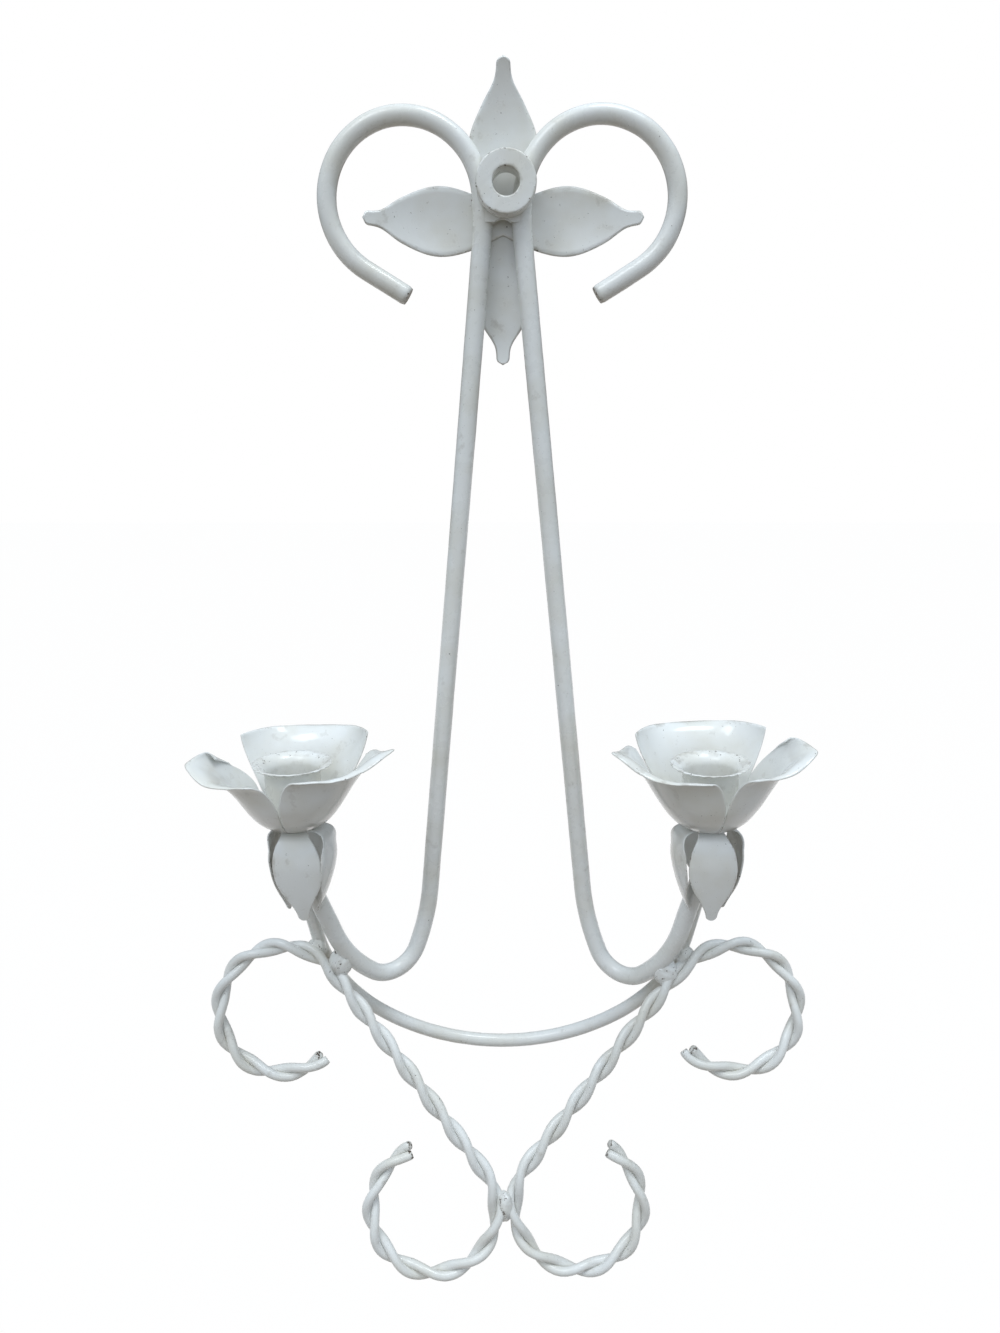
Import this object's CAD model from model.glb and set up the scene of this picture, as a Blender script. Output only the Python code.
import logging
from dataclasses import dataclass
from enum import Enum
from math import cos, degrees, pi, radians, sin, tau
from typing import Callable, Optional, Sequence

import bpy
import numpy as np
from mathutils import Matrix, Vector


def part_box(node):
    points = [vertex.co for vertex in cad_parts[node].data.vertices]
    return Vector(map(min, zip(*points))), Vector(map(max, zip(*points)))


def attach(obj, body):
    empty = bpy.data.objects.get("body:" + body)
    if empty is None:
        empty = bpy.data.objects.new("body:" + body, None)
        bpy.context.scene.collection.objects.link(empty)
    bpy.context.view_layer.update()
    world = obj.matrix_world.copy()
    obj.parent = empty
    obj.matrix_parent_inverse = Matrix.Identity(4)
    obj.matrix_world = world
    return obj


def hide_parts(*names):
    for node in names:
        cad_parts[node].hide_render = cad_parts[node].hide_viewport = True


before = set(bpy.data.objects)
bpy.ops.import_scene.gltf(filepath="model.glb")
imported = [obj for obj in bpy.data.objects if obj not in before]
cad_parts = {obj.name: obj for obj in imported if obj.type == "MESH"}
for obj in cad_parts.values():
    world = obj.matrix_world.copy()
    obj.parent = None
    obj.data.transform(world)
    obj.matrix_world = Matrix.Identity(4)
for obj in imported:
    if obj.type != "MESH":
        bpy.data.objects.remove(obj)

# The looks of a double candle wall sconce: forged round rods, twisted bars, sheet leaves and
# flower cups under thick, aged, off-white gloss paint. Sizes are in millimetres and are turned
# into metres as a mesh is made. X runs to the viewer's right, -Y out of the wall, +Z up.

log = logging.getLogger("sconce")
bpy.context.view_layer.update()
MM = 0.001
BODY = "root"
Array = np.ndarray


class Slot(Enum):
    """Material slots of the record that the pieces take their finish from."""

    PAINT = "aged_white_paint"
    STEEL = "plain_steel"


# Paths and grids


@dataclass(frozen=True)
class Run:
    """Straight stretch of a bar, in millimetres."""

    length: float


@dataclass(frozen=True)
class Bend:
    """Round stretch of a bar; a positive turn is to the left of travel, in degrees."""

    radius: float
    turn: float


@dataclass(frozen=True)
class Stations:
    """Points along a bar with its frame: direction of travel, in-plane across, and plane normal."""

    point: Array
    along: Array
    across: Array
    normal: Array
    distance: Array


@dataclass(frozen=True)
class BentLine:
    """A bar's centre line in one plane: a corner, two axes, a start, a heading and stretches."""

    corner: Array
    out: Array
    up: Array
    start: tuple[float, float]
    heading: float
    stretches: tuple[Run | Bend, ...]

    def sizes(self) -> list[float]:
        """Length of each stretch, arcs as radius times turn in radians."""
        return [
            s.length if isinstance(s, Run) else s.radius * radians(abs(s.turn))
            for s in self.stretches
        ]

    def length(self) -> float:
        """Length of the whole line."""
        return float(sum(self.sizes()))

    def flat(self, distance: Array) -> tuple[Array, Array, Array]:
        """Walk the line: a run adds length times direction, a bend adds radius times the change
        of the direction's sine and cosine.

        Args:
            distance: distances from the start, any shape, in millimetres.

        Returns:
            Local coordinates u and v and the heading in radians, one for each distance.
        """
        u = np.full_like(distance, self.start[0])
        v = np.full_like(distance, self.start[1])
        angle = np.full_like(distance, radians(self.heading))
        done = 0.0
        for stretch, size in zip(self.stretches, self.sizes()):
            step = np.clip(distance - done, 0.0, size)
            if isinstance(stretch, Run):
                u = u + step * np.cos(angle)
                v = v + step * np.sin(angle)
            else:
                sign = 1.0 if stretch.turn > 0 else -1.0
                turned = angle + sign * step / stretch.radius
                u = u + sign * stretch.radius * (np.sin(turned) - np.sin(angle))
                v = v - sign * stretch.radius * (np.cos(turned) - np.cos(angle))
                angle = turned
            done += size
        return u, v, angle

    def stations(self, distance: Array) -> Stations:
        """The line in space at the given distances.

        Args:
            distance: distances from the start, in millimetres.

        Returns:
            Points and frames, with the plane's normal as out cross up.
        """
        u, v, angle = self.flat(distance)
        point = self.corner + u[:, None] * self.out + v[:, None] * self.up
        along = np.cos(angle)[:, None] * self.out + np.sin(angle)[:, None] * self.up
        across = np.cos(angle)[:, None] * self.up - np.sin(angle)[:, None] * self.out
        normal = np.broadcast_to(np.cross(self.out, self.up), along.shape)
        return Stations(point, along, across, normal, distance)

    def even(self, spacing: float) -> Stations:
        """The line at even distances no further apart than the spacing."""
        count = int(np.ceil(self.length() / spacing)) + 1
        return self.stations(np.linspace(0.0, self.length(), count))


def unit(vectors: Array) -> Array:
    """Vectors scaled to length one along their last axis."""
    return vectors / np.maximum(np.linalg.norm(vectors, axis=-1, keepdims=True), 1e-12)


def turn_about(axis: str, angle: float) -> Array:
    """Rotation matrix about X, Y or Z by an angle in degrees, right-handed."""
    c, s = cos(radians(angle)), sin(radians(angle))
    if axis == "X":
        return np.array([[1, 0, 0], [0, c, -s], [0, s, c]])
    if axis == "Y":
        return np.array([[c, 0, s], [0, 1, 0], [-s, 0, c]])
    return np.array([[c, -s, 0], [s, c, 0], [0, 0, 1]])


def ripple(points: Array, wave: float, seed: int) -> Array:
    """Smooth unevenness: the mean of a few sine waves in set directions, from -1 to 1.

    Args:
        points: places, in millimetres, with the coordinates on the last axis.
        wave: wavelength of the longest wave, in millimetres.
        seed: picks the directions and phases.

    Returns:
        One value for each place.
    """
    rng = np.random.default_rng(seed)
    total = np.zeros(points.shape[:-1])
    for k in range(5):
        way = unit(rng.normal(size=3))
        total = total + np.sin(points @ way * tau * (1 + 0.45 * k) / wave + rng.uniform(0, tau))
    return total / 5


def ease(x: Array, low: float, high: float) -> Array:
    """Smooth step: 0 below low, 1 above high, and 3 t squared less 2 t cubed between."""
    t = np.clip((x - low) / (high - low), 0.0, 1.0)
    return t * t * (3 - 2 * t)


def cubic_weights(t: Array) -> tuple[Array, Array, Array, Array]:
    """Weights of a cubic piece for its start, start slope, end and end slope, at shares of its span."""
    return (1 + 2 * t) * (1 - t) ** 2, t * (1 - t) ** 2, t * t * (3 - 2 * t), t * t * (t - 1)


def hermite(knots: Sequence[tuple[float, float]], x: Array) -> Array:
    """Smooth curve through knots: cubic pieces whose slopes are the chords to the neighbours.

    Args:
        knots: pairs of place and value, in rising place.
        x: places to work out.

    Returns:
        The value at each place.
    """
    px = np.array([k[0] for k in knots], float)
    py = np.array([k[1] for k in knots], float)
    slope = np.gradient(py, px)
    i = np.clip(np.searchsorted(px, x) - 1, 0, len(px) - 2)
    gap = px[i + 1] - px[i]
    t = np.clip((x - px[i]) / gap, 0.0, 1.0)
    a, b, c, d = cubic_weights(t)
    return a * py[i] + b * gap * slope[i] + c * py[i + 1] + d * gap * slope[i + 1]


# Meshes


@dataclass
class Skin:
    """Vertices and quads of one piece, with its paint wear at each vertex."""

    points: Array
    quads: Array
    wear: Array
    fans: list[list[int]]

    def joined(self, other: "Skin") -> "Skin":
        """This skin and another as one."""
        shift = len(self.points)
        fans = self.fans + [[i + shift for i in fan] for fan in other.fans]
        return Skin(
            np.vstack([self.points, other.points]),
            np.vstack([self.quads, other.quads + shift]),
            np.concatenate([self.wear, other.wear]),
            fans,
        )

    def moved(self, turn: Array, shift: Array) -> "Skin":
        """This skin turned by a matrix and then shifted."""
        return Skin(self.points @ turn.T + shift, self.quads, self.wear, self.fans)

    def roughen(self, centres: Array, sides: int, depth: float, wave: float, seed: int) -> None:
        """Push a bar's rings in and out from their centres by ripples of that depth."""
        outward = unit(self.points - np.repeat(centres, sides, axis=0))
        self.points = self.points + outward * (depth * ripple(self.points, wave, seed))[:, None]


def travel(point: Array) -> Array:
    """Distance along a row of points: the running sum of the gaps between them."""
    step = np.linalg.norm(np.diff(point, axis=0), axis=1)
    return np.concatenate([[0.0], np.cumsum(step)])


def soft_ended(
    radius: float, total: float, loss: float, reach: tuple[float, float]
) -> Callable[[Array], Array]:
    """Radius of a bar that thins by the loss over a short reach at both cut ends."""

    def at_distance(distance: Array) -> Array:
        """Radius at each distance."""
        cut = np.minimum(distance, total - distance)
        return radius - loss * (1 - ease(cut, *reach))

    return at_distance


def grid_quads(rows: int, columns: int, round_columns: bool, round_rows: bool = False) -> Array:
    """Quads of a grid whose vertex number is row times columns plus column.

    Args:
        rows: number of rows.
        columns: number of columns.
        round_columns: whether the last column joins the first.
        round_rows: whether the last row joins the first.

    Returns:
        An array of four vertex numbers for each quad.
    """
    i = np.arange(rows if round_rows else rows - 1)
    j = np.arange(columns if round_columns else columns - 1)
    i, j = np.meshgrid(i, j, indexing="ij")
    below = (i + 1) % rows
    beside = (j + 1) % columns
    quads = [i * columns + j, i * columns + beside, below * columns + beside, below * columns + j]
    return np.stack(quads, -1).reshape(-1, 4)


def bar_skin(
    stations: Stations,
    radius: Callable[[Array], Array],
    sides: int = 24,
    wear: float = 0.0,
    end_wear: float = 1.0,
) -> Skin:
    """Round bar: at each station the point plus radius times (across cosine + normal sine).

    Args:
        stations: the bar's centre line and frames.
        radius: radius for each distance along the bar.
        sides: points round the bar.
        wear: paint wear on the bar's length.
        end_wear: paint wear on the cut ends and their edges.

    Returns:
        A skin closed by a flat fan at each end.
    """
    angle = np.arange(sides) * tau / sides
    size = radius(stations.distance)[:, None, None]
    ring = (
        stations.across[:, None] * np.cos(angle)[None, :, None]
        + stations.normal[:, None] * np.sin(angle)[None, :, None]
    )
    points = stations.point[:, None] + size * ring
    rows = len(stations.distance)
    from_end = np.minimum(stations.distance, stations.distance[-1] - stations.distance)
    rub = np.where(from_end < 0.9, end_wear, wear)
    worn = np.repeat(rub[:, None], sides, axis=1)
    first = list(range(sides))
    last = [(rows - 1) * sides + k for k in range(sides)]
    return Skin(
        points.reshape(-1, 3),
        grid_quads(rows, sides, True)[:, ::-1],
        worn.reshape(-1),
        [first, last[::-1]],
    )


def sheet_skin(surface: Array, gauge: float, wear: Array, rise: float = 0.0) -> Skin:
    """Sheet metal: a surface thickened to both sides and closed by a round edge.

    The middle of the sheet is the surface moved by the rise along its normal. The two faces are
    the middle plus and minus half the gauge along the normal, and the edge runs half a gauge
    outside the sheet's border.

    Args:
        surface: grid of points, rows by columns by 3, in millimetres.
        gauge: thickness, in millimetres.
        wear: paint wear at each grid point.
        rise: distance from the surface to the middle of the sheet.

    Returns:
        A closed skin.
    """
    du = np.gradient(surface, axis=0)
    dv = np.gradient(surface, axis=1)
    normal = unit(np.cross(du, dv))
    middle = surface + normal * rise
    half = gauge / 2
    rows, columns = middle.shape[:2]
    border_wear = np.maximum(wear, 0.55)
    top = middle + normal * half
    low = middle - normal * half
    count = rows * columns
    index = np.arange(count).reshape(rows, columns)
    border = np.concatenate([index[0, :-1], index[:-1, -1], index[-1, :0:-1], index[:0:-1, 0]])
    out = np.zeros_like(middle)
    out[0] -= unit(du[0])
    out[-1] += unit(du[-1])
    out[:, 0] -= unit(dv[:, 0])
    out[:, -1] += unit(dv[:, -1])
    out = unit(out)
    flat_out = out.reshape(-1, 3)[border]
    edge = middle.reshape(-1, 3)[border] + flat_out * half
    points = np.vstack([top.reshape(-1, 3), low.reshape(-1, 3), edge])
    worn = np.concatenate([wear.reshape(-1), wear.reshape(-1), border_wear.reshape(-1)[border]])
    faces = grid_quads(rows, columns, False)
    k = np.arange(len(border))
    after = (k + 1) % len(border)
    edge_at = 2 * count + k
    edge_after = 2 * count + after
    upper = np.stack([border[k], edge_at, edge_after, border[after]], -1)
    lower = np.stack([edge_at, border[k] + count, border[after] + count, edge_after], -1)
    quads = np.vstack([faces[:, ::-1], faces + count, upper[:, ::-1], lower[:, ::-1]])
    return Skin(points, quads[:, ::-1], worn, [])


def leaf_pair(first: tuple[Array, Array], second: tuple[Array, Array]) -> tuple[Array, Array]:
    """Two leaves along +X as one grid, the second turned to -X, with the paint wear of both."""
    flip = second[0] * np.array([-1.0, 1.0, 1.0])
    grid = np.concatenate([flip[::-1][:-1], first[0]])
    return grid, np.concatenate([second[1][::-1][:-1], first[1]])


def lathe_skin(profile: Array, wear: Array, sides: int, swell: Optional[Array] = None) -> Skin:
    """Turned form: a closed outline of radius and height carried round the Z axis.

    Args:
        profile: closed outline, pairs of radius and height, anticlockwise seen with the axis on
            the left.
        wear: paint wear at each outline point.
        sides: points round the axis.
        swell: change of radius, outline points by sides, in millimetres.

    Returns:
        A closed ring-shaped skin.
    """
    angle = np.arange(sides) * tau / sides
    radius = np.repeat(profile[:, :1], sides, axis=1)
    if swell is not None:
        radius = radius + swell
    height = np.repeat(profile[:, 1:], sides, axis=1)
    points = np.stack([radius * np.cos(angle), radius * np.sin(angle), height], -1)
    worn = np.repeat(wear[:, None], sides, axis=1)
    quads = grid_quads(len(profile), sides, True, True)[:, ::-1]
    return Skin(points.reshape(-1, 3), quads, worn.reshape(-1), [])


def make_piece(
    name: str,
    skin: Skin,
    material: bpy.types.Material,
    nodes: Sequence[str],
) -> bpy.types.Object:
    """Put a skin into a Blender object at the origin, dressed and riding on the part.

    Args:
        name: the piece's name.
        skin: its mesh, in millimetres.
        material: its finish.
        nodes: the CAD nodes that it stands for.

    Returns:
        The new object.
    """
    mesh = bpy.data.meshes.new(name)
    quads = skin.quads
    fan_sizes = [len(f) for f in skin.fans]
    corners = np.concatenate([quads.reshape(-1), *[np.array(f) for f in skin.fans]]).astype(np.int32)
    sizes = np.array([4] * len(quads) + fan_sizes, np.int32)
    starts = np.concatenate([[0], np.cumsum(sizes)[:-1]]).astype(np.int32)
    mesh.vertices.add(len(skin.points))
    mesh.vertices.foreach_set("co", (skin.points * MM).astype(np.float32).reshape(-1))
    mesh.loops.add(len(corners))
    mesh.loops.foreach_set("vertex_index", corners)
    mesh.polygons.add(len(sizes))
    mesh.polygons.foreach_set("loop_start", starts)
    mesh.update(calc_edges=True)
    wear = mesh.attributes.new("wear", "FLOAT", "POINT")
    wear.data.foreach_set("value", skin.wear.astype(np.float32))
    smooth = np.ones(len(sizes), bool)
    smooth[len(quads):] = False
    mesh.polygons.foreach_set("use_smooth", smooth)
    mesh.materials.append(material)
    mesh.validate()
    piece = bpy.data.objects.new(name, mesh)
    bpy.context.scene.collection.objects.link(piece)
    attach(piece, BODY)
    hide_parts(*nodes)
    log.info("%s: %d faces for %s", name, len(sizes), ", ".join(nodes))
    return piece


# Finishes


class NodeBench:
    """Small helper that adds and links the shader nodes of a material or a world."""

    def __init__(self, owner: bpy.types.ID) -> None:
        """Start with an empty node tree."""
        owner.use_nodes = True
        self.owner = owner
        self.tree = owner.node_tree
        self.tree.nodes.clear()

    def add(self, kind: str, **settings: object) -> bpy.types.Node:
        """Add a node; settings that name an input set its value, and others set a property."""
        node = self.tree.nodes.new(kind)
        for key, value in settings.items():
            label = key.replace("_", " ").title()
            if hasattr(node, key):
                setattr(node, key, value)
            elif label in node.inputs:
                node.inputs[label].default_value = value
        return node

    def link(self, source: bpy.types.NodeSocket, target: bpy.types.NodeSocket) -> None:
        """Join two sockets."""
        self.tree.links.new(source, target)

    def noise(
        self, scale: float, detail: float, rough: float, coords: bpy.types.NodeSocket
    ) -> bpy.types.NodeSocket:
        """Noise of that scale in object space, as a value."""
        node = self.add("ShaderNodeTexNoise", scale=scale, detail=detail, roughness=rough)
        self.link(coords, node.inputs["Vector"])
        return node.outputs["Fac"]

    def ramp(self, source: bpy.types.NodeSocket, low: float, high: float) -> bpy.types.NodeSocket:
        """Value mapped from low..high to 0..1 and held there."""
        node = self.add("ShaderNodeMapRange")
        node.clamp = True
        node.inputs["From Min"].default_value = low
        node.inputs["From Max"].default_value = high
        self.link(source, node.inputs["Value"])
        return node.outputs["Result"]

    def math(self, kind: str, a: object, b: object) -> bpy.types.NodeSocket:
        """Arithmetic on two sockets or numbers."""
        node = self.tree.nodes.new("ShaderNodeMath")
        node.operation = kind
        for socket, value in zip(node.inputs, (a, b)):
            if isinstance(value, (int, float)):
                socket.default_value = value
            else:
                self.link(value, socket)
        return node.outputs[0]

    def blend(self, factor: bpy.types.NodeSocket, a: object, b: object) -> bpy.types.NodeSocket:
        """Mix of two colours by a factor."""
        node = self.tree.nodes.new("ShaderNodeMix")
        node.data_type = "RGBA"
        self.link(factor, node.inputs["Factor"])
        for name, value in (("A", a), ("B", b)):
            socket = next(s for s in node.inputs if s.name == name and s.type == "RGBA")
            if isinstance(value, tuple):
                socket.default_value = (*value, 1.0)
            else:
                self.link(value, socket)
        return next(s for s in node.outputs if s.type == "RGBA")


@dataclass(frozen=True)
class GlossPaint:
    """Thick off-white gloss paint, with dust, dull patches, and wear at edges."""

    name: str
    coat: tuple[float, float, float] = (0.80, 0.80, 0.775)
    warm: tuple[float, float, float] = (0.72, 0.70, 0.635)
    grime: tuple[float, float, float] = (0.30, 0.26, 0.20)
    bare: tuple[float, float, float] = (0.10, 0.075, 0.055)
    gloss: float = 0.22
    dull: float = 0.42
    chips: float = 0.5
    brush: float = 0.22
    coat_weight: float = 0.35
    broad_scale: float = 38.0
    mid_scale: float = 160.0
    fine_scale: float = 620.0
    speck_scale: float = 1150.0
    peel_scale: float = 300.0
    soil_edge: tuple[float, float] = (0.63, 0.86)
    speck_edge: tuple[float, float] = (0.735, 0.76)
    chip_edge: tuple[float, float] = (0.70, 0.725)
    grime_share: float = 0.55

    def material(self) -> bpy.types.Material:
        """Build the paint's nodes.

        Colour: clean coat blended with a warmer tone by broad noise, grime where wear and a
        mid noise agree, and bare metal in chips where wear and a fine noise agree. Roughness
        follows the dust. Bump is soft orange peel with a few fine runs.

        Returns:
            The material.
        """
        bench = NodeBench(bpy.data.materials.new(self.name))
        coords = bench.add("ShaderNodeTexCoord").outputs["Object"]
        wear = bench.add("ShaderNodeAttribute", attribute_name="wear").outputs["Fac"]
        broad = bench.ramp(bench.noise(self.broad_scale, 3.0, 0.55, coords), 0.42, 0.68)
        mid = bench.noise(self.mid_scale, 4.0, 0.6, coords)
        fine = bench.noise(self.fine_scale, 5.0, 0.65, coords)
        speck = bench.noise(self.speck_scale, 2.0, 0.5, coords)
        tone = bench.blend(broad, self.coat, self.warm)
        soiled = bench.math("ADD", mid, bench.math("MULTIPLY", wear, 0.22))
        for spots in (bench.ramp(soiled, *self.soil_edge), bench.ramp(speck, *self.speck_edge)):
            tone = bench.blend(bench.math("MULTIPLY", spots, self.grime_share), tone, self.grime)
        chip_field = bench.math("ADD", fine, bench.math("MULTIPLY", wear, 0.20 * self.chips))
        chipped = bench.ramp(chip_field, *self.chip_edge)
        tone = bench.blend(chipped, tone, self.bare)
        shader = bench.add("ShaderNodeBsdfPrincipled")
        shader.inputs["Coat Weight"].default_value = self.coat_weight
        shader.inputs["Coat Roughness"].default_value = 0.12
        shader.inputs["Specular IOR Level"].default_value = 0.5
        bench.link(tone, shader.inputs["Base Color"])
        rough = bench.add("ShaderNodeMapRange")
        rough.inputs["From Min"].default_value = 0.35
        rough.inputs["From Max"].default_value = 0.75
        rough.inputs["To Min"].default_value = self.gloss
        rough.inputs["To Max"].default_value = self.dull
        bench.link(mid, rough.inputs["Value"])
        rough_all = bench.math("MAXIMUM", rough.outputs["Result"], bench.math("MULTIPLY", chipped, 0.7))
        bench.link(rough_all, shader.inputs["Roughness"])
        peel = bench.noise(self.peel_scale, 2.0, 0.5, coords)
        sunk = bench.math("MULTIPLY", chipped, -0.5)
        height = bench.math("ADD", bench.math("MULTIPLY", peel, self.brush), sunk)
        bump = bench.add("ShaderNodeBump", strength=0.35, distance=0.0005)
        bench.link(height, bump.inputs["Height"])
        bench.link(bump.outputs["Normal"], shader.inputs["Normal"])
        output = bench.add("ShaderNodeOutputMaterial")
        bench.link(shader.outputs["BSDF"], output.inputs["Surface"])
        return bench.owner


@dataclass(frozen=True)
class DullSteel:
    """Plain screw steel under a thin film of dust."""

    name: str = "dull_screw_steel"
    light: tuple[float, float, float] = (0.46, 0.45, 0.43)
    dark: tuple[float, float, float] = (0.22, 0.19, 0.16)

    def material(self) -> bpy.types.Material:
        """Build the steel's nodes: two tones by noise, rougher where darker, with fine bump.

        Returns:
            The material.
        """
        bench = NodeBench(bpy.data.materials.new(self.name))
        coords = bench.add("ShaderNodeTexCoord").outputs["Object"]
        spots = bench.ramp(bench.noise(420.0, 4.0, 0.6, coords), 0.4, 0.7)
        shader = bench.add("ShaderNodeBsdfPrincipled")
        shader.inputs["Metallic"].default_value = 0.85
        bench.link(bench.blend(spots, self.light, self.dark), shader.inputs["Base Color"])
        bench.link(bench.math("ADD", bench.math("MULTIPLY", spots, 0.25), 0.38), shader.inputs["Roughness"])
        bump = bench.add("ShaderNodeBump", strength=0.2, distance=0.0002)
        bench.link(spots, bump.inputs["Height"])
        bench.link(bump.outputs["Normal"], shader.inputs["Normal"])
        output = bench.add("ShaderNodeOutputMaterial")
        bench.link(shader.outputs["BSDF"], output.inputs["Surface"])
        return bench.owner


@dataclass(frozen=True)
class Palette:
    """The finished materials of the whole sconce."""

    rod: bpy.types.Material
    twist: bpy.types.Material
    leaf: bpy.types.Material
    petal: bpy.types.Material
    cup: bpy.types.Material
    weld: bpy.types.Material
    steel: bpy.types.Material

    @classmethod
    def mixed(cls) -> "Palette":
        """The paints, each a little different in gloss and wear, and the steel."""
        return cls(
            rod=GlossPaint("rod_paint", chips=0.7).material(),
            twist=GlossPaint("twist_paint", chips=0.9, dull=0.48).material(),
            leaf=GlossPaint("leaf_paint", gloss=0.16, dull=0.34, chips=0.45).material(),
            petal=GlossPaint("petal_paint", gloss=0.14, dull=0.30, chips=0.35).material(),
            cup=GlossPaint("cup_paint", chips=0.55, dull=0.5).material(),
            weld=GlossPaint("weld_paint", chips=1.0, dull=0.5, brush=0.5).material(),
            steel=DullSteel().material(),
        )


# Sub-assemblies


@dataclass(frozen=True)
class BentRod:
    """One main rod: scroll, stem, hook and arm, in millimetres and degrees."""

    side: int
    stem_lean: float
    stem_length: float
    hook_lead_turn: float
    hook_plane_turn: float
    arm_turn: float
    arm_run: float
    radius: float = 4.0
    plane_y: float = -6.4
    neck_x: float = 8.5
    neck_z: float = -20.0
    ease: Bend = Bend(93.0, -12.0)
    scroll: Bend = Bend(31.6, -232.0)
    tail: Run = Run(20.3)
    hook_lead_radius: float = 97.0
    hook: Bend = Bend(15.0, 105.0)
    arm_radius: float = 61.0
    arm_end_radius: float = 16.0
    arm_end_run: float = 9.0
    spacing: float = 1.6
    settle: int = 60
    sides_round: int = 28

    def scroll_line(self) -> BentLine:
        """From the neck up and round the scroll to its cut tail."""
        return BentLine(
            np.array([0.0, self.plane_y, 0.0]),
            np.array([float(self.side), 0.0, 0.0]),
            np.array([0.0, 0.0, 1.0]),
            (self.neck_x, self.neck_z),
            90 + self.stem_lean,
            (self.ease, self.scroll, self.tail),
        )

    def hook_line(self) -> BentLine:
        """From the neck down the stem, round the hook and up the arm to the cup."""
        lean, turn = radians(self.stem_lean), radians(self.hook_plane_turn)
        up = np.array([-self.side * sin(lean), 0.0, cos(lean)])
        out = np.array([self.side * cos(lean) * cos(turn), -sin(turn), sin(lean) * cos(turn)])
        settled = self.hook_lead_turn + self.hook.turn + self.arm_turn - 90
        end_turn = 90 - settled - self.stem_lean * cos(turn)
        stretches = (
            Run(self.stem_length),
            Bend(self.hook_lead_radius, self.hook_lead_turn),
            self.hook,
            Bend(self.arm_radius, self.arm_turn),
            Run(self.arm_run),
            Bend(self.arm_end_radius, end_turn),
            Run(self.arm_end_run),
        )
        corner = np.array([self.side * self.neck_x, self.plane_y, self.neck_z])
        return BentLine(corner, out, up, (0.0, 0.0), -90.0, stretches)

    def stations(self) -> Stations:
        """The whole rod from the scroll's tail to the cup, in one run of stations."""
        scroll = self.scroll_line().even(self.spacing)
        hook = self.hook_line().even(self.spacing)
        back = slice(None, 0, -1)
        point = np.vstack([scroll.point[back], hook.point])
        along = np.vstack([-scroll.along[back], hook.along])
        first = len(scroll.point)
        turned = ease(np.arange(len(point), dtype=float), first - 2, first + self.settle)
        front = np.array([0.0, -1.0, 0.0])
        hook_normal = hook.normal[0] * (1.0 if hook.normal[0] @ front > 0 else -1.0)
        normal = front + turned[:, None] * (hook_normal - front)
        normal = unit(normal - (normal * along).sum(1, keepdims=True) * along)
        across = np.cross(normal, along)
        return Stations(point, along, across, normal, travel(point))

    def cup_point(self) -> Array:
        """Where the rod ends under its cup."""
        line = self.hook_line()
        return line.stations(np.array([line.length()])).point[0]

    def build(self, name: str, paint: bpy.types.Material) -> bpy.types.Object:
        """Make the rod, a hair uneven in thickness, with its cut end softened."""
        stations = self.stations()
        radius = soft_ended(self.radius, stations.distance[-1], 0.55, (-0.4, 0.8))
        skin = bar_skin(stations, radius, self.sides_round)
        skin.roughen(stations.point, self.sides_round, 0.07, 26.0, 3 + self.side)
        return make_piece(name, skin, paint, [name])


@dataclass(frozen=True)
class BowRod:
    """The thinner rod that joins the two arms from behind."""

    radius: float = 3.1
    lean: float = 15.2
    bottom_y: float = -6.6
    bottom_z: float = -388.9
    middle: Bend = Bend(92.0, 38.9)
    sides: Bend = Bend(75.0, 43.0)
    end: Run = Run(46.0)
    spacing: float = 1.6
    sides_round: int = 24

    def half_line(self, side: int) -> BentLine:
        """From the middle of the bow to its end behind the arm."""
        lean = radians(self.lean)
        return BentLine(
            np.array([0.0, self.bottom_y, self.bottom_z]),
            np.array([float(side), 0.0, 0.0]),
            np.array([0.0, -sin(lean), cos(lean)]),
            (0.0, 0.0),
            0.0,
            (self.middle, self.sides, self.end),
        )

    def build(self, paint: bpy.types.Material) -> bpy.types.Object:
        """Make the bow from end to end."""
        left = self.half_line(-1).even(self.spacing)
        right = self.half_line(1).even(self.spacing)
        back = slice(None, 0, -1)
        point = np.vstack([left.point[back], right.point])
        along = np.vstack([-left.along[back], right.along])
        normal = np.broadcast_to(right.normal[0], point.shape)
        across = np.cross(normal, along)
        distance = travel(point)
        radius = soft_ended(self.radius, distance[-1], 0.5, (-0.4, 0.7))
        skin = bar_skin(Stations(point, along, across, normal, distance), radius, self.sides_round)
        skin.roughen(point, self.sides_round, 0.06, 24.0, 11)
        return make_piece("bow_rod", skin, paint, ["bow_rod"])


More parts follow.
